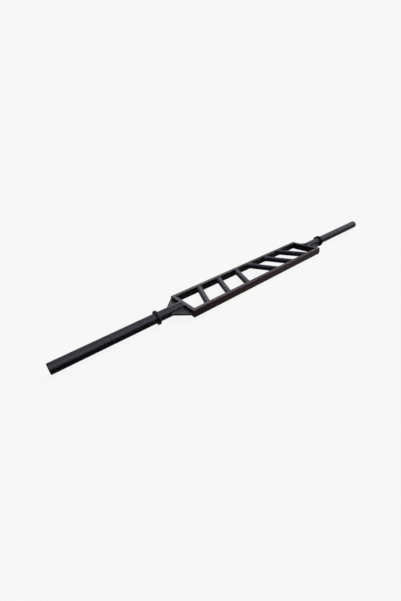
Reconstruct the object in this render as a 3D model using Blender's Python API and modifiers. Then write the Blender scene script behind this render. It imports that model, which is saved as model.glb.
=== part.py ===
"""Swiss bar: a multi-grip barbell welded from steel tube and powder coated.

The origin is at the middle of the bar, on the axis of its two sleeve tubes. +X runs to the right
end, +Y to the rear rail and +Z up. All sizes are in metres and all angles in radians.
"""
import math

import bmesh
import bpy
from mathutils import Matrix, Vector

# Driving dimensions
BAR_LENGTH = 2.260
FRAME_LENGTH = 1.020
FRAME_WIDTH = 0.205
FRAME_DROP = 0.0035       # the frame's mid-plane lies this far under the sleeve tubes' axis

RAIL_HEIGHT = 0.040
RAIL_WIDTH = 0.020
RAIL_WALL = 0.003
RAIL_CORNER = 0.0025      # radius of the rail tube's outer corners
RAIL_INNER_CORNER = 0.0005

GRIP_DIAMETER = 0.032
GRIP_WALL = 0.0025
GRIP_LEAN = math.radians(22.5)
GRIP_FIRST = 0.090        # from the bar's middle to the inner grip's centre
GRIP_STEP = 0.1410        # from one grip's centre to the next

TUBE_DIAMETER = 0.050
TUBE_WALL = 0.004

COLLAR_DISTANCE = 0.652   # from the bar's middle to the collar's mid-plane
COLLAR_DIAMETER = 0.072
COLLAR_THICKNESS = 0.012
COLLAR_ROUND = 0.003

GUSSET_THICKNESS = 0.008
GUSSET_TIP = 0.003        # the width of the blunt end at each sharp corner

CAP_FLANGE = 0.004
CAP_CHAMFER = 0.0015
CAP_PLUG_DEPTH = 0.020

SEAL_THICKNESS = 0.004    # the disc that closes a sleeve tube where it meets the frame

GAP = 0.0003              # clearance kept between pieces that touch
BLANK_LENGTH = 0.010      # a tube is drawn this long, then its ends are slid to where they belong

# Mesh fineness
CORNER_STEPS = 4
GRIP_SIDES = 40
TUBE_SIDES = 64
COLLAR_SIDES = 72
ROUND_STEPS = 4
WELD_DISTANCE = 0.00001
SMOOTH_ANGLE = math.radians(30)

# Sizes that follow from the driving ones
FRAME_END = FRAME_LENGTH / 2
FRAME_SIDE = FRAME_WIDTH / 2
RAIL_CENTRE = FRAME_SIDE - RAIL_WIDTH / 2
RAIL_INNER = FRAME_SIDE - RAIL_WIDTH
END_RAIL_CENTRE = FRAME_END - RAIL_WIDTH / 2
TUBE_RADIUS = TUBE_DIAMETER / 2
TUBE_START = FRAME_END + GAP
TUBE_END = BAR_LENGTH / 2 - CAP_FLANGE - GAP
GUSSET_LEG = FRAME_SIDE - TUBE_RADIUS - GAP

# Each coat's colour and roughness
COATS = {
    "rail": ((0.063, 0.057, 0.068), 0.30),
    "grip": ((0.070, 0.064, 0.085), 0.32),
    "tube": ((0.038, 0.037, 0.050), 0.25),
    "collar": ((0.030, 0.027, 0.036), 0.38),
    "gusset": ((0.050, 0.046, 0.055), 0.34),
    "cap": ((0.010, 0.010, 0.011), 0.50),
}


def clear_scene():
    """Remove whatever the scene held before."""
    for obj in list(bpy.data.objects):
        bpy.data.objects.remove(obj)


def new_collection(name):
    """A collection for the bar's parts, linked to the scene."""
    collection = bpy.data.collections.new(name)
    bpy.context.scene.collection.children.link(collection)
    return collection


def coat_material(name, kind):
    """The painted finish of one part."""
    colour, roughness = COATS[kind]
    material = bpy.data.materials.new(name + "_coat")
    material.use_nodes = True
    shader = material.node_tree.nodes["Principled BSDF"]
    shader.inputs["Base Color"].default_value = (*colour, 1.0)
    shader.inputs["Roughness"].default_value = roughness
    shader.inputs["Metallic"].default_value = 0.0
    return material


def along(direction, centre):
    """The placement that turns local Z to a level direction and keeps local Y upright."""
    forward = Vector(direction).normalized()
    upright = Vector((0.0, 0.0, 1.0))
    side = upright.cross(forward)
    turn = Matrix((side, upright, forward)).transposed().to_4x4()
    return Matrix.Translation(Vector(centre)) @ turn


def circle(radius, sides):
    """Points of a circle, counter-clockwise."""
    return [(radius * math.cos(math.tau * i / sides), radius * math.sin(math.tau * i / sides))
            for i in range(sides)]


def rounded_rectangle(width, height, corner):
    """Points of a rectangle with four corner arcs, counter-clockwise."""
    points = []
    quarters = ((1, 1), (-1, 1), (-1, -1), (1, -1))
    for quarter, (side_x, side_y) in enumerate(quarters):
        middle_x = side_x * (width / 2 - corner)
        middle_y = side_y * (height / 2 - corner)
        for step in range(CORNER_STEPS + 1):
            angle = math.pi / 2 * (quarter + step / CORNER_STEPS)
            points.append((middle_x + corner * math.cos(angle), middle_y + corner * math.sin(angle)))
    return points


def extruded(name, outlines, depth):
    """A mesh extruded to both sides of a flat outline, whose inner outlines are holes."""
    curve = bpy.data.curves.new(name, "CURVE")
    curve.dimensions = "2D"
    curve.fill_mode = "BOTH"
    curve.extrude = depth / 2
    for outline in outlines:
        spline = curve.splines.new("POLY")
        spline.points.add(len(outline) - 1)
        for point, (x, y) in zip(spline.points, outline):
            point.co = (x, y, 0.0, 1.0)
        spline.use_cyclic_u = True
    guide = bpy.data.objects.new(name + "_outline", curve)
    bpy.context.scene.collection.objects.link(guide)
    mesh = bpy.data.meshes.new_from_object(guide.evaluated_get(bpy.context.evaluated_depsgraph_get()))
    bpy.data.objects.remove(guide)
    mesh.materials.clear()
    welded = bmesh.new()
    welded.from_mesh(mesh)
    bmesh.ops.remove_doubles(welded, verts=welded.verts, dist=WELD_DISTANCE)
    bmesh.ops.recalc_face_normals(welded, faces=welded.faces)
    welded.to_mesh(mesh)
    welded.free()
    return mesh


def slide_ends(mesh, placement, far_plane, near_plane):
    """Slide both ends of a straight tube along its length until they lie on two planes.

    Each plane is a point and a normal in world space.
    """
    to_local = placement.inverted()
    for vertex in mesh.vertices:
        point, normal = far_plane if vertex.co.z > 0 else near_plane
        local_point = to_local @ Vector(point)
        local_normal = to_local.to_3x3() @ Vector(normal)
        vertex.co.z += (local_point - vertex.co).dot(local_normal) / local_normal.z


def add_part(name, mesh, placement, kind, collection, parent):
    """Put a finished mesh in the scene as one named part."""
    mesh.name = name
    mesh.shade_smooth()
    mesh.set_sharp_from_angle(angle=SMOOTH_ANGLE)
    mesh.materials.append(coat_material(name, kind))
    part = bpy.data.objects.new(name, mesh)
    part.matrix_world = placement
    part.parent = parent
    collection.objects.link(part)
    return part


def straight_tube(name, outlines, placement, planes, kind, collection, parent):
    """A hollow bar along local Z, cut off by a plane at each end."""
    mesh = extruded(name, outlines, BLANK_LENGTH)
    slide_ends(mesh, placement, *planes)
    add_part(name, mesh, placement, kind, collection, parent)


def turned(name, profile, placement, kind, collection, parent, sides, closed):
    """A solid of revolution about local Z, from a profile of (radius, height) points."""
    mesh = bpy.data.meshes.new(name + "_profile")
    edges = [(i, i + 1) for i in range(len(profile) - 1)]
    if closed:
        edges.append((len(profile) - 1, 0))
    mesh.from_pydata([(radius, 0.0, height) for radius, height in profile], edges, [])
    guide = bpy.data.objects.new(name + "_profile", mesh)
    bpy.context.scene.collection.objects.link(guide)
    screw = guide.modifiers.new("turn", "SCREW")
    screw.axis = "Z"
    screw.steps = sides
    screw.render_steps = sides
    screw.use_merge_vertices = True
    screw.merge_threshold = WELD_DISTANCE
    solid = bpy.data.meshes.new_from_object(guide.evaluated_get(bpy.context.evaluated_depsgraph_get()))
    bpy.data.objects.remove(guide)
    half_side = Matrix.Rotation(math.pi / sides, 4, "Z")
    add_part(name, solid, placement @ half_side, kind, collection, parent)


def rail_outlines():
    """Outer and inner outline of the rectangular rail tube, width by height."""
    bore_width = RAIL_WIDTH - 2 * RAIL_WALL
    bore_height = RAIL_HEIGHT - 2 * RAIL_WALL
    return [rounded_rectangle(RAIL_WIDTH, RAIL_HEIGHT, RAIL_CORNER),
            rounded_rectangle(bore_width, bore_height, RAIL_INNER_CORNER)]


def round_outlines(diameter, wall, sides):
    """Outer and inner outline of a round tube."""
    return [circle(diameter / 2, sides), circle(diameter / 2 - wall, sides)]


def mitre_plane(end, side, inward):
    """The corner plane at one end and side of the frame, moved half a gap towards its rail."""
    corner = Vector((end * FRAME_END, side * FRAME_SIDE, 0.0))
    normal = Vector((end, -side, 0.0)).normalized()
    return corner - normal * inward * GAP / 2, normal


def build_rails(collection, parent):
    """The four sides of the frame, mitred into each other at the corners."""
    for name, side in (("rail_front", -1), ("rail_rear", 1)):
        placement = along((1, 0, 0), (0, side * RAIL_CENTRE, -FRAME_DROP))
        planes = (mitre_plane(1, side, 1), mitre_plane(-1, side, 1))
        straight_tube(name, rail_outlines(), placement, planes, "rail", collection, parent)
    for name, end in (("end_rail_left", -1), ("end_rail_right", 1)):
        placement = along((0, 1, 0), (end * END_RAIL_CENTRE, 0, -FRAME_DROP))
        planes = (mitre_plane(end, 1, -1), mitre_plane(end, -1, -1))
        straight_tube(name, rail_outlines(), placement, planes, "rail", collection, parent)


def build_grips(collection, parent):
    """Six round grips between the long rails, their rear ends leaning to the bar's middle."""
    outlines = round_outlines(GRIP_DIAMETER, GRIP_WALL, GRIP_SIDES)
    reach = RAIL_INNER - GAP
    planes = (((0, reach, 0), (0, 1, 0)), ((0, -reach, 0), (0, 1, 0)))
    for side_name, end in (("left", -1), ("right", 1)):
        for place, place_name in enumerate(("inner", "middle", "outer")):
            centre = (end * (GRIP_FIRST + place * GRIP_STEP), 0, -FRAME_DROP)
            lean = (-end * math.sin(GRIP_LEAN), math.cos(GRIP_LEAN), 0)
            straight_tube(f"grip_{side_name}_{place_name}", outlines, along(lean, centre), planes,
                          "grip", collection, parent)


def build_sleeve(side_name, end, collection, parent):
    """One sleeve tube with its sealing disc, its collar ring and its end cap."""
    outlines = round_outlines(TUBE_DIAMETER, TUBE_WALL, TUBE_SIDES)
    outward = (end, 0, 0)
    planes = (((end * TUBE_END, 0, 0), outward), ((end * TUBE_START, 0, 0), outward))
    middle = (end * (TUBE_START + TUBE_END) / 2, 0, 0)
    straight_tube(f"sleeve_tube_{side_name}", outlines, along(outward, middle), planes,
                  "tube", collection, parent)
    turned(f"tube_seal_{side_name}", seal_profile(), along(outward, (end * TUBE_START, 0, 0)),
           "tube", collection, parent, TUBE_SIDES, closed=False)
    turned(f"collar_{side_name}", collar_profile(), along(outward, (end * COLLAR_DISTANCE, 0, 0)),
           "collar", collection, parent, COLLAR_SIDES, closed=True)
    turned(f"end_cap_{side_name}", cap_profile(), along(outward, (end * BAR_LENGTH / 2, 0, 0)),
           "cap", collection, parent, TUBE_SIDES, closed=False)


def seal_profile():
    """The disc's section, flush with the tube's end at height 0."""
    radius = TUBE_RADIUS - TUBE_WALL - GAP
    return [(0.0, SEAL_THICKNESS), (radius, SEAL_THICKNESS), (radius, 0.0), (0.0, 0.0)]


def collar_profile():
    """The ring's section, down its rounded outer side and up its bore."""
    half = COLLAR_THICKNESS / 2
    outer = COLLAR_DIAMETER / 2 / math.cos(math.pi / COLLAR_SIDES)
    bore = TUBE_RADIUS + GAP
    profile = []
    for first_angle, height in ((math.pi / 2, half - COLLAR_ROUND), (0.0, COLLAR_ROUND - half)):
        for step in range(ROUND_STEPS + 1):
            angle = first_angle - math.pi / 2 * step / ROUND_STEPS
            profile.append((outer - COLLAR_ROUND + COLLAR_ROUND * math.cos(angle),
                            height + COLLAR_ROUND * math.sin(angle)))
    return profile + [(bore, -half), (bore, half)]


def cap_profile():
    """The plug's section from its outer face inwards: a flange as wide as the tube, then the plug."""
    plug = TUBE_RADIUS - TUBE_WALL - GAP
    inner_end = -CAP_FLANGE - CAP_PLUG_DEPTH
    return [
        (0.0, 0.0),
        (TUBE_RADIUS - CAP_CHAMFER, 0.0),
        (TUBE_RADIUS, -CAP_CHAMFER),
        (TUBE_RADIUS, -CAP_FLANGE),
        (plug, -CAP_FLANGE),
        (plug, inner_end + CAP_CHAMFER),
        (plug - CAP_CHAMFER, inner_end),
        (0.0, inner_end),
    ]


def build_gussets(collection, parent):
    """Four level triangular plates, each in the corner between a sleeve tube and an end rail."""
    outline = [
        (0.0, 0.0),
        (GUSSET_LEG, 0.0),
        (GUSSET_LEG, GUSSET_TIP),
        (GUSSET_TIP, GUSSET_LEG),
        (0.0, GUSSET_LEG),
    ]
    for side_name, end in (("left", -1), ("right", 1)):
        for depth_name, side in (("front", -1), ("rear", 1)):
            name = f"gusset_{side_name}_{depth_name}"
            corner = Vector((end * TUBE_START, side * (TUBE_RADIUS + GAP), -FRAME_DROP))
            turn = Matrix.Rotation(math.atan2(side, end) - math.pi / 4, 4, "Z")
            mesh = extruded(name, [outline], GUSSET_THICKNESS)
            add_part(name, mesh, Matrix.Translation(corner) @ turn, "gusset", collection, parent)


def main():
    """Build the whole bar under one empty at its origin."""
    clear_scene()
    collection = new_collection("swiss_bar")
    origin = bpy.data.objects.new("swiss_bar_origin", None)
    collection.objects.link(origin)
    build_rails(collection, origin)
    build_grips(collection, origin)
    for side_name, end in (("left", -1), ("right", 1)):
        build_sleeve(side_name, end, collection, origin)
    build_gussets(collection, origin)


main()
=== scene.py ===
"""Swiss bar: the looks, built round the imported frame.

Every visible surface is a fine mesh in satin black powder coat that stands where its CAD node stands,
and the welds that join the pieces are beads of their own. Lengths are in metres, in the frame's axes:
+X to the bar's right end, +Y to the rear rail, +Z up.
"""

import math
import random

import bmesh
import bpy
from mathutils import Matrix, Vector


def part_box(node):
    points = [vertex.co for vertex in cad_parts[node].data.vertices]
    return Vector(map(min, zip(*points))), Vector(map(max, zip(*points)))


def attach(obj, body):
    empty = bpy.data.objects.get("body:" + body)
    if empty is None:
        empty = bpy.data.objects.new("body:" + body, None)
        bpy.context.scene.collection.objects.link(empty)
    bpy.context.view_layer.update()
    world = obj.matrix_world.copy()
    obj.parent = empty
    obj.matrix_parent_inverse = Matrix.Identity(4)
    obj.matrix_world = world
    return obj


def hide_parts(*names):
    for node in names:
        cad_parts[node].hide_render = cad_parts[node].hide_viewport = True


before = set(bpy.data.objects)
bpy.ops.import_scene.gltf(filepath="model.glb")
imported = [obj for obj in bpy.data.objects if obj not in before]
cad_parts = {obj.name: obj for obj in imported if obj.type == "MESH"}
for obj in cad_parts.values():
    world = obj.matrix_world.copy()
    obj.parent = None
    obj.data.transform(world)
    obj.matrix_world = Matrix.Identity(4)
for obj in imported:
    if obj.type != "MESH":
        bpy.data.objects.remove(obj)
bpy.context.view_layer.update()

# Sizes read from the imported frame
RAIL_LOW, RAIL_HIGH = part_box("rail_rear")
END_RAIL_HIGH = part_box("end_rail_right")[1]
TUBE_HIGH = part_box("sleeve_tube_right")[1]
COLLAR_LOW, COLLAR_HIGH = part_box("collar_right")
CAP_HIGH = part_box("end_cap_right")[1]
GUSSET_LOW, GUSSET_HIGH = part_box("gusset_right_rear")
GRIP_LOW, GRIP_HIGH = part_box("grip_right_inner")

FRAME_END = END_RAIL_HIGH.x
FRAME_SIDE = RAIL_HIGH.y
RAIL_WIDTH = RAIL_HIGH.y - RAIL_LOW.y
RAIL_INNER = RAIL_LOW.y
RAIL_TOP = RAIL_HIGH.z
RAIL_BOTTOM = RAIL_LOW.z
FRAME_LEVEL = (RAIL_TOP + RAIL_BOTTOM) / 2
TUBE_RADIUS = TUBE_HIGH.y
TUBE_END = TUBE_HIGH.x
BAR_END = CAP_HIGH.x
COLLAR_RADIUS = COLLAR_HIGH.z
COLLAR_HALF = (COLLAR_HIGH.x - COLLAR_LOW.x) / 2
COLLAR_MIDDLE = (COLLAR_HIGH.x + COLLAR_LOW.x) / 2
GRIP_RADIUS = (GRIP_HIGH.z - GRIP_LOW.z) / 2
FLOOR_LEVEL = COLLAR_LOW.z

# The names of the bar's ends along X, its sides along Y and its faces along Z
END_NAMES = {-1: "left", 1: "right"}
SIDE_NAMES = {-1: "front", 1: "rear"}
FACE_NAMES = {-1: "bottom", 1: "top"}

# Shape details that a box doesn't give
GRIP_LEAN = math.radians(22.5)
RAIL_CORNER = 0.0025
CORNER_GRIND = 0.0015     # the mitred corners' outer edges are ground to this radius
COLLAR_ROUND = 0.003
PLATE_EDGE = 0.0008       # radius of a gusset's edges
PLATE_TIP = 0.003         # the blunt end of a gusset's sharp corners
PLATE_CORNER = 0.0013     # radius of a gusset's corners, seen from above
TUBE_EDGE = 0.0006
CAP_EDGE = 0.0015
CAP_RIM = 0.0045          # width of the plug's raised rim
CAP_RECESS = 0.0012
SEAM = 0.0001             # hairline between pieces that meet
SUPPORT = 0.0003          # keeps a flat face flat beside a rounded edge

# Welds
BEAD_LEG = 0.0042
PLATE_BEAD_LEG = 0.0034
BEAD_PITCH = 0.0027       # from one ripple to the next
BEAD_SAMPLES = 6          # cross-sections in each ripple
BEAD_RIPPLE = 0.10        # height of a ripple, as a share of the bead
BEAD_HUMP = 0.8           # under 1, a ripple is full and the valleys beside it are narrow
BEAD_SECTION = 1.5        # 1 gives the bead a round section and 2 a flat one
BEAD_BOW = 0.55           # how far the bead's middle runs ahead of its toes, in ripples
BEAD_WAVER = 0.09         # the welder's unevenness, as a share of the bead
BEAD_WAVER_RIPPLES = 3    # ripples from one change of size to the next
BEAD_SINK = 0.0002        # the bead's toes lie this far inside the metal
BEAD_OVERLAP = 0.0010     # how far a bead laps over the rim of the tube's end
TUBE_LEAN = 0.12          # slope of the tube's side under a gusset's bead
SEAM_BEAD_WIDTH = 0.0046
SEAM_BEAD_HEIGHT = 0.00025
SEAM_BEAD_TIP = 0.5       # how full the seam's bead is at its ends, as a share
WELD_SEED = 7

# Mesh fineness
TUBE_SIDES = 144
GRIP_SIDES = 96
CORNER_STEPS = 6
EDGE_STEPS = 3
BEAD_STEPS = 8
MERGE_DISTANCE = 0.000001
SMOOTH_ANGLE = math.radians(32)

# The photograph's camera
IMAGE_HEIGHT = 601
FOCAL_PIXELS = 265.94
CAMERA_PLACE = Vector((-1.05798, -0.99033, 0.67828))
CAMERA_YAW = 0.58933      # from +Y towards +X
CAMERA_PITCH = -0.53005
CAMERA_ROLL = -0.12517
SENSOR = 36.0

random.seed(WELD_SEED)


# Meshes

def skin(name, rings, closed, material):
    """A closed mesh over a row of rings with equal point counts. A row that isn't closed gets flat ends.

    Each point is (place, edge share). The edge share runs from 0 on a flat to 1 along an edge, which is
    painted paler, as rubbed wear and as a painted highlight.
    """
    shape = bmesh.new()
    edge_wear_highlight = shape.verts.layers.float.new("edge_wear_highlight")
    rows = []
    for ring in rings:
        row = []
        for place, wear_highlight_share in ring:
            vertex = shape.verts.new(place)
            vertex[edge_wear_highlight] = wear_highlight_share
            row.append(vertex)
        rows.append(row)
    count = len(rings[0])
    pairs = list(zip(rows, rows[1:]))
    if closed:
        pairs.append((rows[-1], rows[0]))
    for first, second in pairs:
        for i in range(count):
            j = (i + 1) % count
            shape.faces.new((first[i], first[j], second[j], second[i]))
    if not closed:
        shape.faces.new(rows[0])
        shape.faces.new(rows[-1])
    bmesh.ops.remove_doubles(shape, verts=shape.verts, dist=MERGE_DISTANCE)
    bmesh.ops.dissolve_degenerate(shape, edges=shape.edges, dist=MERGE_DISTANCE)
    return finished(name, shape, material)


def finished(name, shape, material):
    """An object from a bmesh, its faces pointing out and its rounded edges smooth."""
    bmesh.ops.recalc_face_normals(shape, faces=shape.faces)
    mesh = bpy.data.meshes.new(name)
    shape.to_mesh(mesh)
    shape.free()
    mesh.shade_smooth()
    mesh.set_sharp_from_angle(angle=SMOOTH_ANGLE)
    mesh.materials.append(material)
    piece = bpy.data.objects.new(name, mesh)
    bpy.context.scene.collection.objects.link(piece)
    return piece


def stand_for(piece, slot, *nodes):
    """Let a piece ride on the bar in place of CAD nodes. The slot is not used."""
    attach(piece, "root")
    if nodes:
        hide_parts(*nodes)


def turned(name, profile, end, sides, material):
    """A solid of revolution about the X axis, from (distance from the middle, radius, edge share) points;
    the edge share paints an edge paler, as wear and as a painted highlight.
    """
    rings = []
    for x, radius, wear_highlight_share in profile:
        ring = []
        for i in range(sides):
            angle = math.tau * i / sides
            ring.append((Vector((end * x, radius * math.cos(angle), radius * math.sin(angle))), wear_highlight_share))
        rings.append(ring)
    return skin(name, rings, False, material)


def arc(centre_x, centre_radius, radius, first, last, steps):
    """Profile points of a rounded edge, from one angle to another, 0 degrees pointing along +X."""
    points = []
    for step in range(steps + 1):
        angle = math.radians(first + (last - first) * step / steps)
        x = centre_x + radius * math.cos(angle)
        distance = centre_radius + radius * math.sin(angle)
        # the rounded edge's share of painted highlight and wear, fullest at its middle
        points.append((x, distance, math.sin(math.pi * step / steps)))
    return points


# Frame

def rail_section():
    """The rail tube's outline as (distance in from the outer face, height, edge share) points, the edge
    share painting the rounded corners paler, as wear and as a painted highlight.
    """
    half_width = RAIL_WIDTH / 2
    half_height = (RAIL_TOP - RAIL_BOTTOM) / 2
    straight_x = half_width - RAIL_CORNER
    straight_y = half_height - RAIL_CORNER
    points = []
    for quarter, (side_x, side_y) in enumerate(((1, 1), (-1, 1), (-1, -1), (1, -1))):
        corner = []
        for step in range(CORNER_STEPS + 1):
            angle = math.pi / 2 * (quarter + step / CORNER_STEPS)
            # each rounded corner is painted paler, as wear and as a highlight, fullest at its middle
            corner.append((side_x * straight_x + RAIL_CORNER * math.cos(angle),
                           side_y * straight_y + RAIL_CORNER * math.sin(angle),
                           math.sin(math.pi * step / CORNER_STEPS)))
        if quarter % 2 == 0:
            before = (corner[0][0], corner[0][1] - side_y * SUPPORT, 0)
            after = (corner[-1][0] - side_x * SUPPORT, corner[-1][1], 0)
        else:
            before = (corner[0][0] - side_x * SUPPORT, corner[0][1], 0)
            after = (corner[-1][0], corner[-1][1] - side_y * SUPPORT, 0)
        points += [before] + corner + [after]
    return [(half_width + x, FRAME_LEVEL + y, wear_highlight_share) for x, y, wear_highlight_share in points]


def mitred_bar(name, half_length, half_depth, turn, material):
    """One side of the frame, between 45 degree corners whose outer edges are ground round."""
    section = rail_section()
    centre_x = half_length - CORNER_GRIND
    centre_y = half_depth - CORNER_GRIND
    half_rings = []
    for step in range(CORNER_STEPS + 1):
        angle = math.pi / 4 * step / CORNER_STEPS
        ring = []
        for inset, height, wear_highlight_share in section:
            radius = CORNER_GRIND - inset
            if radius > 0:
                x = centre_x + radius * math.sin(angle)
                y = centre_y + radius * math.cos(angle)
                # the ground corner is painted paler, as wear and as a highlight, more towards the mitre
                wear_highlight_share = max(wear_highlight_share, step / CORNER_STEPS)
            else:
                x = half_length - inset
                y = half_depth - inset
            ring.append((x - SEAM, y, height, wear_highlight_share))
        half_rings.append(ring)
    rings = []
    for mirror, row in [(-1, ring) for ring in reversed(half_rings)] + [(1, ring) for ring in half_rings]:
        rings.append([(turn @ Vector((mirror * x, y, height)), wear_highlight_share) for x, y, height, wear_highlight_share in row])
    return skin(name, rings, False, material)


def build_frame(material):
    """The four sides of the frame."""
    sides = (("end_rail_right", FRAME_SIDE, FRAME_END, -90), ("rail_rear", FRAME_END, FRAME_SIDE, 0),
             ("end_rail_left", FRAME_SIDE, FRAME_END, 90), ("rail_front", FRAME_END, FRAME_SIDE, 180))
    for node, half_length, half_depth, degrees in sides:
        turn = Matrix.Rotation(math.radians(degrees), 3, "Z")
        piece = mitred_bar(node + "_coated", half_length, half_depth, turn, material)
        stand_for(piece, "frame_coat", node)


# Grips

def grip_places():
    """(name, middle, direction) of each grip, its direction pointing to the rear rail."""
    for end, end_name in END_NAMES.items():
        direction = Vector((-end * math.sin(GRIP_LEAN), math.cos(GRIP_LEAN), 0))
        for place_name in ("inner", "middle", "outer"):
            node = f"grip_{end_name}_{place_name}"
            low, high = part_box(node)
            yield node, (low + high) / 2, direction


def grip_ring(middle, direction, y, radius, sides):
    """The grip's outline where a plane square to Y cuts it."""
    centre = middle + direction * (y / direction.y)
    points = []
    for i in range(sides):
        angle = math.tau * i / sides
        offset = Vector((radius / direction.y * math.cos(angle), 0, radius * math.sin(angle)))
        points.append((centre + offset, 0))
    return points


def build_grips(material):
    """Six round grips, each from one long rail's inner face to the other's."""
    reach = RAIL_INNER - SEAM
    for node, middle, direction in grip_places():
        rings = [grip_ring(middle, direction, y, GRIP_RADIUS, GRIP_SIDES) for y in (-reach, 0, reach)]
        piece = skin(node + "_coated", rings, False, material)
        stand_for(piece, "grip_coat", node)


# Sleeves

def build_tube(end, material):
    """One sleeve tube, sealed at the frame."""
    tube = arc(FRAME_END + SEAM + TUBE_EDGE, TUBE_RADIUS - TUBE_EDGE, TUBE_EDGE, 180, 90, EDGE_STEPS)
    tube += [(FRAME_END + SEAM + TUBE_EDGE + SUPPORT, TUBE_RADIUS, 0)]
    tube += [(TUBE_END - TUBE_EDGE - SUPPORT, TUBE_RADIUS, 0)]
    tube += arc(TUBE_END - TUBE_EDGE, TUBE_RADIUS - TUBE_EDGE, TUBE_EDGE, 90, 0, EDGE_STEPS)
    node = f"sleeve_tube_{END_NAMES[end]}"
    piece = turned(node + "_coated", tube, end, TUBE_SIDES, material)
    stand_for(piece, "sleeve_coat", node, f"tube_seal_{END_NAMES[end]}")


def build_collar(end, material):
    """The ring that the discs stop against."""
    inner_face = COLLAR_MIDDLE - COLLAR_HALF
    outer_face = COLLAR_MIDDLE + COLLAR_HALF
    hidden_radius = TUBE_RADIUS - SUPPORT
    ring = [(inner_face, hidden_radius, 0), (inner_face, COLLAR_RADIUS - COLLAR_ROUND - SUPPORT, 0)]
    ring += arc(inner_face + COLLAR_ROUND, COLLAR_RADIUS - COLLAR_ROUND, COLLAR_ROUND, 180, 90, CORNER_STEPS)
    ring += arc(outer_face - COLLAR_ROUND, COLLAR_RADIUS - COLLAR_ROUND, COLLAR_ROUND, 90, 0, CORNER_STEPS)
    ring += [(outer_face, COLLAR_RADIUS - COLLAR_ROUND - SUPPORT, 0), (outer_face, hidden_radius, 0)]
    node = f"collar_{END_NAMES[end]}"
    piece = turned(node + "_coated", ring, end, TUBE_SIDES, material)
    stand_for(piece, "collar_coat", node)


def build_cap(end, material):
    """The plug in the tube's end, its rim raised round a shallow recess."""
    rim_radius = TUBE_RADIUS - CAP_RIM
    plug_start = TUBE_END + 2 * SEAM
    plug = [(plug_start, TUBE_RADIUS - TUBE_EDGE, 0), (plug_start + TUBE_EDGE, TUBE_RADIUS, 0)]
    plug += arc(BAR_END - CAP_EDGE, TUBE_RADIUS - CAP_EDGE, CAP_EDGE, 90, 0, CORNER_STEPS)
    plug += [(BAR_END, rim_radius + SUPPORT, 0)]
    plug += arc(BAR_END - CAP_RECESS / 2, rim_radius, CAP_RECESS / 2, 0, -90, EDGE_STEPS)
    plug += [(BAR_END - CAP_RECESS, rim_radius - CAP_RECESS, 0)]
    node = f"end_cap_{END_NAMES[end]}"
    piece = turned(node + "_moulded", plug, end, TUBE_SIDES, material)
    stand_for(piece, "cap_plastic", node)


# Gussets

def plate_outline(corners, inset):
    """The points of a convex outline with rounded corners, drawn in by a distance.

    The corners run anticlockwise.
    """
    points = []
    for i, corner in enumerate(corners):
        before = (corner - corners[i - 1]).normalized()
        after = (corners[(i + 1) % len(corners)] - corner).normalized()
        turn = before.angle(after)
        inward = (after - before).normalized()
        centre = corner + inward * PLATE_CORNER / math.cos(turn / 2)
        first = math.atan2(-before.x, before.y)
        for step in range(CORNER_STEPS + 1):
            angle = first + turn * step / CORNER_STEPS
            points.append(centre + Vector((math.cos(angle), math.sin(angle))) * (PLATE_CORNER - inset))
    return points


def build_gussets(material):
    """Four triangular plates with eased edges, between the sleeve tubes and the end rails."""
    leg = GUSSET_HIGH.x - GUSSET_LOW.x
    corners = [Vector(place) for place in ((0, 0), (leg, 0), (leg, PLATE_TIP), (PLATE_TIP, leg), (0, leg))]
    # The plate's eased edge as (inset, rise from the plate's face, edge share) points; the edge share paints
    # the eased edge paler, as wear and as a painted highlight
    eased = [(PLATE_EDGE + SUPPORT, 0, 0)]
    for step in range(CORNER_STEPS + 1):
        angle = math.pi / 2 * step / CORNER_STEPS
        wear_highlight_share = math.sin(math.pi * step / CORNER_STEPS)
        eased.append((PLATE_EDGE * (1 - math.sin(angle)), PLATE_EDGE * (1 - math.cos(angle)), wear_highlight_share))
    for end, end_name in END_NAMES.items():
        for side, side_name in SIDE_NAMES.items():
            node = f"gusset_{end_name}_{side_name}"
            low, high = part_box(node)
            corner_x = low.x if end > 0 else high.x
            corner_y = low.y if side > 0 else high.y
            levels = [(inset, low.z + rise, wear_highlight_share) for inset, rise, wear_highlight_share in eased]
            levels += [(inset, high.z - rise, wear_highlight_share) for inset, rise, wear_highlight_share in reversed(eased)]
            rings = []
            for inset, level, wear_highlight_share in levels:
                rings.append([(Vector((corner_x + end * point.x, corner_y + side * point.y, level)), wear_highlight_share)
                              for point in plate_outline(corners, inset)])
            piece = skin(node + "_coated", rings, False, material)
            stand_for(piece, "gusset_coat", node)


# Welds

def ripple(phase):
    """How full the bead is along its length, where each whole number of the phase is a valley."""
    return 1 - BEAD_RIPPLE / 2 + BEAD_RIPPLE * abs(math.sin(math.pi * phase)) ** BEAD_HUMP


def wavering(count):
    """A slow seeded unevenness for a bead's cross-sections, which closes on itself."""
    knots = [random.uniform(-1, 1) for _ in range(max(3, round(count / BEAD_SAMPLES / BEAD_WAVER_RIPPLES)))]
    sizes = []
    for i in range(count):
        place = i / count * len(knots)
        before = int(place)
        share = (1 - math.cos(math.pi * (place - before))) / 2
        sizes.append(knots[before] * (1 - share) + knots[(before + 1) % len(knots)] * share)
    return [1 + BEAD_WAVER * size for size in sizes]


def end_fullness(distance):
    """How full a bead is at a distance from its free end, which is round."""
    short = 1 - min(distance / BEAD_LEG, 1)
    return max(math.sqrt(1 - short ** 2), BEAD_RIPPLE)


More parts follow.
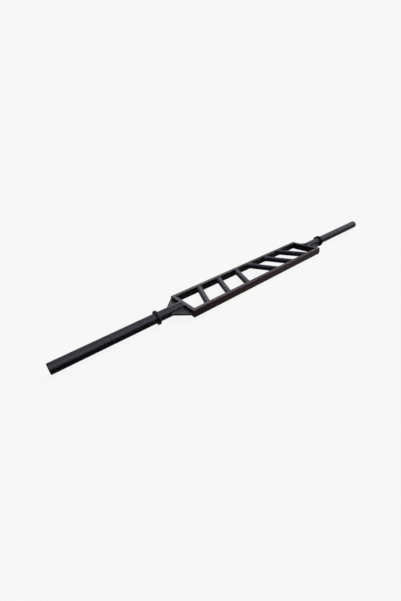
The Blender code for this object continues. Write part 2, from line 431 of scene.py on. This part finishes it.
def bead(name, stations, material, free_start=False, free_finish=False, root=None):
    """A weld bead that fills the corner between two faces, its ripples bowed along the way it was laid.

    Each station is (corner point, direction along one face, its leg, direction along the other, its leg).
    A bead that comes back to its start is closed. The root is where its inner edge lies from the corner.
    """
    closed = (stations[0][0] - stations[-1][0]).length < 2 * (stations[0][0] - stations[1][0]).length
    sizes = wavering(len(stations))
    travelled = [0.0]
    for here, there in zip(stations, stations[1:]):
        travelled.append(travelled[-1] + (there[0] - here[0]).length)
    rings = []
    for index, (corner, along_a, leg_a, along_b, leg_b) in enumerate(stations):
        size = sizes[index]
        if free_start:
            size *= end_fullness(travelled[index])
        if free_finish:
            size *= end_fullness(travelled[-1] - travelled[index])
        inner = root if root else -(along_a + along_b) * BEAD_SINK * 2
        ring = [(corner + inner, 0)]
        for step in range(BEAD_STEPS + 1):
            angle = math.pi / 2 * step / BEAD_STEPS
            fullness = size * ripple(index / BEAD_SAMPLES - BEAD_BOW * math.sin(2 * angle))
            reach_a = leg_a * fullness * math.cos(angle) ** BEAD_SECTION - BEAD_SINK
            reach_b = leg_b * fullness * math.sin(angle) ** BEAD_SECTION - BEAD_SINK
            ring.append((corner + along_a * reach_a + along_b * reach_b, 0))
        rings.append(ring)
    return skin(name, rings, closed, material)


def stations_round(count, place):
    """Stations of a closed bead, from a function of the angle round it."""
    return [place(math.tau * i / count) for i in range(count)]


def samples_for(length):
    """The number of cross-sections on a bead of this length, a whole number of ripples."""
    return max(2, round(length / BEAD_PITCH)) * BEAD_SAMPLES


def weld_grip(node, middle, direction, side, material):
    """The bead round one end of a grip, on the long rail's inner face."""
    plane = side * RAIL_INNER
    half_wide = GRIP_RADIUS / direction.y
    centre = middle + direction * (plane / direction.y)
    away = -direction * side

    def place(angle):
        corner = centre + Vector((half_wide * math.cos(angle), 0, GRIP_RADIUS * math.sin(angle)))
        outward = Vector((math.cos(angle) / half_wide, 0, math.sin(angle) / GRIP_RADIUS)).normalized()
        return corner, outward, BEAD_LEG, away, BEAD_LEG

    count = samples_for(math.tau * (half_wide + GRIP_RADIUS) / 2)
    piece = bead(f"weld_{node}_{SIDE_NAMES[side]}", stations_round(count, place), material)
    stand_for(piece, "grip_coat")


def weld_collar(end, material):
    """The bead round the tube against the collar's inboard face."""
    face = end * (COLLAR_MIDDLE - COLLAR_HALF)
    away = Vector((-end, 0, 0))

    def place(angle):
        outward = Vector((0, math.cos(angle), math.sin(angle)))
        return outward * TUBE_RADIUS + Vector((face, 0, 0)), outward, BEAD_LEG, away, BEAD_LEG

    count = samples_for(math.tau * TUBE_RADIUS)
    piece = bead(f"weld_collar_{END_NAMES[end]}_inboard", stations_round(count, place), material)
    stand_for(piece, "sleeve_coat")


def weld_tube_side(end, side, material):
    """The beads between the sleeve tube and the end rail's outer face, above and below a gusset."""
    face = Vector((end * FRAME_END, 0, 0))
    outboard = Vector((end, 0, 0))
    top = RAIL_TOP - RAIL_CORNER / 2
    bottom = RAIL_BOTTOM + RAIL_CORNER / 2
    for place_name, low, high in (("upper", GUSSET_HIGH.z, top), ("lower", bottom, GUSSET_LOW.z)):
        first = math.asin(low / TUBE_RADIUS)
        last = math.asin(high / TUBE_RADIUS)
        count = samples_for(TUBE_RADIUS * (last - first))
        stations = []
        for i in range(count + 1):
            angle = first + (last - first) * i / count
            outward = Vector((0, side * math.cos(angle), math.sin(angle)))
            stations.append((outward * TUBE_RADIUS + face, outward, BEAD_LEG, outboard, BEAD_LEG))
        name = f"weld_tube_{END_NAMES[end]}_{SIDE_NAMES[side]}_{place_name}"
        piece = bead(name, stations, material,
                     free_start=place_name == "lower", free_finish=place_name == "upper")
        stand_for(piece, "frame_coat")


def weld_tube_over(end, up, material):
    """The bead between the tube's sealed end and the top or underside of the end rail."""
    level = RAIL_TOP if up > 0 else RAIL_BOTTOM
    half_chord = math.sqrt(TUBE_RADIUS ** 2 - level ** 2)
    inboard = Vector((-end, 0, 0))
    upright = Vector((0, 0, up))
    count = samples_for(2 * half_chord)
    stations = []
    for i in range(count + 1):
        y = half_chord * (2 * i / count - 1)
        rise = math.sqrt(max(TUBE_RADIUS ** 2 - y ** 2, 0)) - abs(level)
        climb = min(BEAD_LEG, rise + BEAD_OVERLAP)
        stations.append((Vector((end * FRAME_END, y, level)), inboard, BEAD_LEG, upright, climb))
    piece = bead(f"weld_tube_{END_NAMES[end]}_{FACE_NAMES[up]}", stations, material,
                 free_start=True, free_finish=True, root=Vector((0, 0, -up * RAIL_CORNER)))
    stand_for(piece, "frame_coat")


def weld_gusset(end, side, material):
    """Four straight beads of a gusset: to the tube and to the end rail, above and below the plate."""
    node = f"gusset_{END_NAMES[end]}_{SIDE_NAMES[side]}"
    low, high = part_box(node)
    leg = high.x - low.x
    count = samples_for(leg)
    outboard = Vector((end, 0, 0))
    sideways = Vector((0, side, 0))
    for up, level in ((1, high.z), (-1, low.z)):
        upright = Vector((0, 0, up))
        tube_rise = Vector((0, -side * TUBE_LEAN, up)).normalized()
        at_tube = []
        at_rail = []
        for i in range(count + 1):
            distance = leg * i / count
            at_tube.append((Vector((end * (FRAME_END + distance), side * TUBE_RADIUS, level)),
                            sideways, PLATE_BEAD_LEG, tube_rise, PLATE_BEAD_LEG))
            at_rail.append((Vector((end * FRAME_END, side * (TUBE_RADIUS + distance), level)),
                            outboard, PLATE_BEAD_LEG, upright, PLATE_BEAD_LEG))
        for joint, stations in (("tube", at_tube), ("rail", at_rail)):
            name = f"weld_{node}_{joint}_{FACE_NAMES[up]}"
            piece = bead(name, stations, material, free_finish=True)
            stand_for(piece, "gusset_coat")


def weld_mitre(end, side, up, material):
    """The low bead over a mitred corner's seam, on the frame's top or underside."""
    level = RAIL_TOP if up > 0 else RAIL_BOTTOM
    inset = SEAM_BEAD_WIDTH / 2
    inner = Vector((end * (FRAME_END - RAIL_WIDTH + inset), side * (RAIL_INNER + inset), level))
    outer = Vector((end * (FRAME_END - inset), side * (FRAME_SIDE - inset), level))
    across = Vector((end, -side, 0)).normalized()
    count = samples_for((outer - inner).length)
    rings = []
    for i in range(count + 1):
        middle = inner.lerp(outer, i / count)
        from_tip = min(i, count - i) / BEAD_SAMPLES
        tapered = min(1, SEAM_BEAD_TIP + (1 - SEAM_BEAD_TIP) * from_tip)
        ring = []
        for step in range(2 * BEAD_STEPS):
            angle = math.pi * step / BEAD_STEPS
            fullness = ripple(i / BEAD_SAMPLES - BEAD_BOW * max(math.sin(angle), 0)) * tapered
            sideways = SEAM_BEAD_WIDTH / 2 * fullness * math.cos(angle)
            rise = up * SEAM_BEAD_HEIGHT * fullness * math.sin(angle)
            ring.append((middle + across * sideways + Vector((0, 0, rise)), 0))
        rings.append(ring)
    name = f"weld_mitre_{END_NAMES[end]}_{SIDE_NAMES[side]}_{FACE_NAMES[up]}"
    piece = skin(name, rings, False, material)
    stand_for(piece, "frame_coat")


def build_welds(coats):
    """Every bead on the bar."""
    for node, middle, direction in grip_places():
        for side in SIDE_NAMES:
            weld_grip(node, middle, direction, side, coats["grip"])
    for end in END_NAMES:
        weld_collar(end, coats["sleeve"])
        for side in SIDE_NAMES:
            weld_tube_side(end, side, coats["frame"])
            weld_gusset(end, side, coats["gusset"])
            for up in FACE_NAMES:
                weld_mitre(end, side, up, coats["frame"])
        for up in FACE_NAMES:
            weld_tube_over(end, up, coats["frame"])


# Materials

# Each coat as (material's name, colour, roughness, gloss)
COATS = {
    "frame": ("frame_powder_coat", (0.063, 0.057, 0.068), 0.30, 0.026),
    "grip": ("grip_powder_coat", (0.070, 0.064, 0.085), 0.32, 0.025),
    "sleeve": ("sleeve_powder_coat", (0.038, 0.037, 0.050), 0.25, 0.02),
    "collar": ("collar_powder_coat", (0.030, 0.027, 0.036), 0.38, 0.02),
    "gusset": ("gusset_powder_coat", (0.050, 0.046, 0.055), 0.34, 0.02),
    "cap": ("cap_moulded_plastic", (0.010, 0.010, 0.011), 0.50, 0.06),
}

# Every noise is in waves for each metre, and its middle range is what gets used
NOISE_LOW = 0.3
NOISE_HIGH = 0.7
EDGE_PATCH_WAVES = 85           # where the edges are painted paler, as rubbed wear and as a painted highlight
EDGE_WEAR_HIGHLIGHT_LIFT = 0.5           # how much paler an edge gets, as rubbed wear and as a painted highlight
EDGE_POLISH = 0.06        # how much smoother
MOTTLE_WAVES = 26
MOTTLE = 0.08             # how much the colour varies, up and down
SPECK_WAVES = 900
SPECK = 0.10
SHEEN_WAVES = 40
SMOOTHER = 0.03           # how far the roughness varies down
ROUGHER = 0.05            # and up
PEEL_WAVES = 330          # the coat's orange peel
PEEL_HEIGHT = 0.00012
GRAIN_WAVES = 1600
GRAIN_SHARE = 0.22        # the grain's height beside the peel's


def shader_node(tree, kind, **values):
    """A new shader node with some of its settings and inputs filled in."""
    made = tree.nodes.new(kind)
    for name, value in values.items():
        if name in made.inputs:
            made.inputs[name].default_value = value
        else:
            setattr(made, name, value)
    return made


def noise(tree, place, scale, detail=2.0, rough=0.5):
    """Noise in the bar's own coordinates, with a scale in waves for each metre."""
    made = shader_node(tree, "ShaderNodeTexNoise", Scale=scale, Detail=detail, Roughness=rough)
    tree.links.new(place, made.inputs["Vector"])
    return made.outputs["Fac"]


def spread(tree, value, low, high):
    """Map a noise's middle range to a range of values."""
    made = shader_node(tree, "ShaderNodeMapRange")
    made.inputs["From Min"].default_value = NOISE_LOW
    made.inputs["From Max"].default_value = NOISE_HIGH
    made.inputs["To Min"].default_value = low
    made.inputs["To Max"].default_value = high
    tree.links.new(value, made.inputs["Value"])
    return made.outputs["Result"]


def combined(tree, operation, first, second):
    """The result of one operation on two values. Each is a socket or a number."""
    made = shader_node(tree, "ShaderNodeMath", operation=operation)
    for value, target in zip((first, second), made.inputs):
        if isinstance(value, bpy.types.NodeSocket):
            tree.links.new(value, target)
        else:
            target.default_value = value
    return made.outputs[0]


def coat(name, colour, roughness, gloss):
    """Satin powder coat: a mottled black film with orange peel and fine grain, its edges painted paler as
    rubbed wear and as a painted highlight.
    """
    material = bpy.data.materials.new(name)
    material.use_nodes = True
    tree = material.node_tree
    shader = tree.nodes["Principled BSDF"]
    shader.inputs["Metallic"].default_value = 0.0
    shader.inputs["Specular IOR Level"].default_value = gloss
    place = shader_node(tree, "ShaderNodeTexCoord").outputs["Object"]

    # Edges are painted paler and smoother: partly rubbed wear, partly a painted highlight along the rounded
    # edges
    wear_highlight_share = shader_node(tree, "ShaderNodeAttribute", attribute_name="edge_wear_highlight").outputs["Fac"]
    patches = spread(tree, noise(tree, place, EDGE_PATCH_WAVES, 4.0, 0.6), 0.0, 1.0)
    worn_highlit_edge = combined(tree, "MULTIPLY", wear_highlight_share, patches)

    mottle = spread(tree, noise(tree, place, MOTTLE_WAVES, 4.0, 0.6), 1 - MOTTLE, 1 + MOTTLE)
    speck = spread(tree, noise(tree, place, SPECK_WAVES, 3.0, 0.7), 1 - SPECK, 1 + SPECK)
    edge_brightening = combined(tree, "ADD", combined(tree, "MULTIPLY", worn_highlit_edge, EDGE_WEAR_HIGHLIGHT_LIFT), 1.0)
    depth = combined(tree, "MULTIPLY", combined(tree, "MULTIPLY", mottle, speck), edge_brightening)
    tint = shader_node(tree, "ShaderNodeVectorMath", operation="SCALE")
    tint.inputs[0].default_value = colour
    tree.links.new(depth, tint.inputs["Scale"])
    tree.links.new(tint.outputs[0], shader.inputs["Base Color"])

    sheen = spread(tree, noise(tree, place, SHEEN_WAVES, 3.0), roughness - SMOOTHER, roughness + ROUGHER)
    polish = combined(tree, "MULTIPLY", worn_highlit_edge, EDGE_POLISH)
    tree.links.new(combined(tree, "SUBTRACT", sheen, polish), shader.inputs["Roughness"])

    peel = noise(tree, place, PEEL_WAVES, 1.0, 0.5)
    grain = combined(tree, "MULTIPLY", noise(tree, place, GRAIN_WAVES, 2.0, 0.6), GRAIN_SHARE)
    bump = shader_node(tree, "ShaderNodeBump", Distance=PEEL_HEIGHT)
    tree.links.new(combined(tree, "ADD", peel, grain), bump.inputs["Height"])
    tree.links.new(bump.outputs["Normal"], shader.inputs["Normal"])
    return material


# Studio

BACKDROP = 0.93           # the pale grey behind the bar, as a linear value
FLOOR_GLOW = 0.90         # the part of it that no shadow reaches
FLOOR_RADIUS = 200.0
FLOOR_SIDES = 64
FLOOR_BOUNCE = (0.022, 0.019, 0.019)
WORLD_FILL = 0.022
FILL_COLOUR = (0.95, 0.97, 1.0)

# The distant lamps as (name, azimuth, elevation, irradiance, width), in degrees and W/m2
SOFTBOXES = (("right_softbox", 96, 48, 2.1, 24),
             ("overhead_softbox", 120, 72, 1.2, 24),
             ("rear_softbox", 150, 18, 1.0, 26))
# Lamps that show only as a sheen, along the two sleeves
SHEENS = (("left_sheen", 13, 50, 12.5, 60),
          ("right_sheen", 70, 28, 1.8, 44))

# The low warm lamp in front of the frame
PANEL_PLACE = Vector((-0.02, -2.2, 0.04))
PANEL_WIDTH = 0.8
PANEL_HEIGHT = 0.14
PANEL_BEAM = math.radians(34)
PANEL_POWER = 0.6
PANEL_COLOUR = (1.0, 0.57, 0.41)


def seen_directly(tree):
    """1 for rays that show the background as it looks: from the camera, a gloss or a glass."""
    path = shader_node(tree, "ShaderNodeLightPath")
    total = path.outputs["Is Camera Ray"]
    for kind in ("Is Glossy Ray", "Is Transmission Ray"):
        either = shader_node(tree, "ShaderNodeMath", operation="MAXIMUM")
        tree.links.new(total, either.inputs[0])
        tree.links.new(path.outputs[kind], either.inputs[1])
        total = either.outputs[0]
    return total


def build_world():
    """A pale backdrop all round, and a weaker even light on the bar."""
    world = bpy.data.worlds.new("studio")
    bpy.context.scene.world = world
    world.use_nodes = True
    tree = world.node_tree
    tree.nodes.clear()
    backdrop = shader_node(tree, "ShaderNodeBackground", Color=(1, 1, 1, 1), Strength=BACKDROP)
    fill = shader_node(tree, "ShaderNodeBackground", Color=(*FILL_COLOUR, 1), Strength=WORLD_FILL)
    mix = shader_node(tree, "ShaderNodeMixShader")
    out = shader_node(tree, "ShaderNodeOutputWorld")
    tree.links.new(seen_directly(tree), mix.inputs["Fac"])
    tree.links.new(fill.outputs[0], mix.inputs[1])
    tree.links.new(backdrop.outputs[0], mix.inputs[2])
    tree.links.new(mix.outputs[0], out.inputs["Surface"])


def build_floor(light_level):
    """A plain pale floor under the bar, which keeps a soft shadow."""
    material = bpy.data.materials.new("pale_floor")
    material.use_nodes = True
    tree = material.node_tree
    tree.nodes.clear()
    albedo = (BACKDROP - FLOOR_GLOW) / light_level
    lit = shader_node(tree, "ShaderNodeBsdfDiffuse", Color=(albedo, albedo, albedo, 1))
    glow = shader_node(tree, "ShaderNodeEmission", Color=(1, 1, 1, 1), Strength=FLOOR_GLOW)
    shown = shader_node(tree, "ShaderNodeAddShader")
    bounce = shader_node(tree, "ShaderNodeBsdfDiffuse", Color=(*FLOOR_BOUNCE, 1))
    mix = shader_node(tree, "ShaderNodeMixShader")
    out = shader_node(tree, "ShaderNodeOutputMaterial")
    tree.links.new(lit.outputs[0], shown.inputs[0])
    tree.links.new(glow.outputs[0], shown.inputs[1])
    tree.links.new(seen_directly(tree), mix.inputs["Fac"])
    tree.links.new(bounce.outputs[0], mix.inputs[1])
    tree.links.new(shown.outputs[0], mix.inputs[2])
    tree.links.new(mix.outputs[0], out.inputs["Surface"])

    shape = bmesh.new()
    bmesh.ops.create_circle(shape, cap_ends=True, radius=FLOOR_RADIUS, segments=FLOOR_SIDES)
    floor = finished("studio_floor", shape, material)
    floor.location.z = FLOOR_LEVEL


def softbox(name, azimuth, elevation, irradiance, width):
    """A broad distant lamp. Azimuth 0 stands behind a viewer who looks along +Y, 90 at +X."""
    lamp = bpy.data.lights.new(name, "SUN")
    lamp.energy = irradiance
    lamp.angle = math.radians(width)
    holder = bpy.data.objects.new(name, lamp)
    turn = math.radians(azimuth)
    rise = math.radians(elevation)
    towards = Vector((math.sin(turn) * math.cos(rise), -math.cos(turn) * math.cos(rise), math.sin(rise)))
    holder.rotation_euler = towards.to_track_quat("Z", "Y").to_euler()
    bpy.context.scene.collection.objects.link(holder)
    return holder


def low_panel():
    """A small warm lamp with a grid, low in front of the frame, whose beam leaves the sleeves out."""
    lamp = bpy.data.lights.new("low_panel", "AREA")
    lamp.shape = "RECTANGLE"
    lamp.size = PANEL_WIDTH
    lamp.size_y = PANEL_HEIGHT
    lamp.spread = PANEL_BEAM
    lamp.energy = PANEL_POWER
    lamp.color = PANEL_COLOUR
    holder = bpy.data.objects.new("low_panel", lamp)
    holder.location = PANEL_PLACE
    holder.rotation_euler = PANEL_PLACE.to_track_quat("Z", "Y").to_euler()
    holder.visible_camera = False
    holder.visible_glossy = False
    bpy.context.scene.collection.objects.link(holder)


def build_lights():
    """The studio's lamps. Returns the light on the floor, where 1 shows a colour as it is written."""
    total = 0.0
    for name, azimuth, elevation, irradiance, width in SOFTBOXES:
        softbox(name, azimuth, elevation, irradiance, width)
        total += irradiance * math.sin(math.radians(elevation))
    for name, azimuth, elevation, irradiance, width in SHEENS:
        softbox(name, azimuth, elevation, irradiance, width).visible_diffuse = False
    low_panel()
    return total / math.pi + WORLD_FILL


def build_camera():
    """The camera that took the photograph."""
    forward = Vector((math.sin(CAMERA_YAW) * math.cos(CAMERA_PITCH),
                      math.cos(CAMERA_YAW) * math.cos(CAMERA_PITCH),
                      math.sin(CAMERA_PITCH)))
    level_right = Vector((math.cos(CAMERA_YAW), -math.sin(CAMERA_YAW), 0))
    level_up = level_right.cross(forward)
    right = level_right * math.cos(CAMERA_ROLL) + level_up * math.sin(CAMERA_ROLL)
    up = level_up * math.cos(CAMERA_ROLL) - level_right * math.sin(CAMERA_ROLL)
    data = bpy.data.cameras.new("photo_camera")
    data.sensor_width = SENSOR
    data.lens = FOCAL_PIXELS / IMAGE_HEIGHT * SENSOR
    data.clip_start = 0.01
    data.clip_end = 500
    camera = bpy.data.objects.new("photo_camera", data)
    turn = Matrix((right, up, -forward)).transposed().to_4x4()
    camera.matrix_world = Matrix.Translation(CAMERA_PLACE) @ turn
    bpy.context.scene.collection.objects.link(camera)
    bpy.context.scene.camera = camera


def build_bar():
    """Every piece of the bar, in its coat."""
    coats = {kind: coat(*look) for kind, look in COATS.items()}
    build_frame(coats["frame"])
    build_grips(coats["grip"])
    for end in END_NAMES:
        build_tube(end, coats["sleeve"])
        build_collar(end, coats["collar"])
        build_cap(end, coats["cap"])
    build_gussets(coats["gusset"])
    build_welds(coats)


build_bar()
build_world()
build_floor(build_lights())
build_camera()
bpy.context.scene.view_settings.view_transform = "Standard"
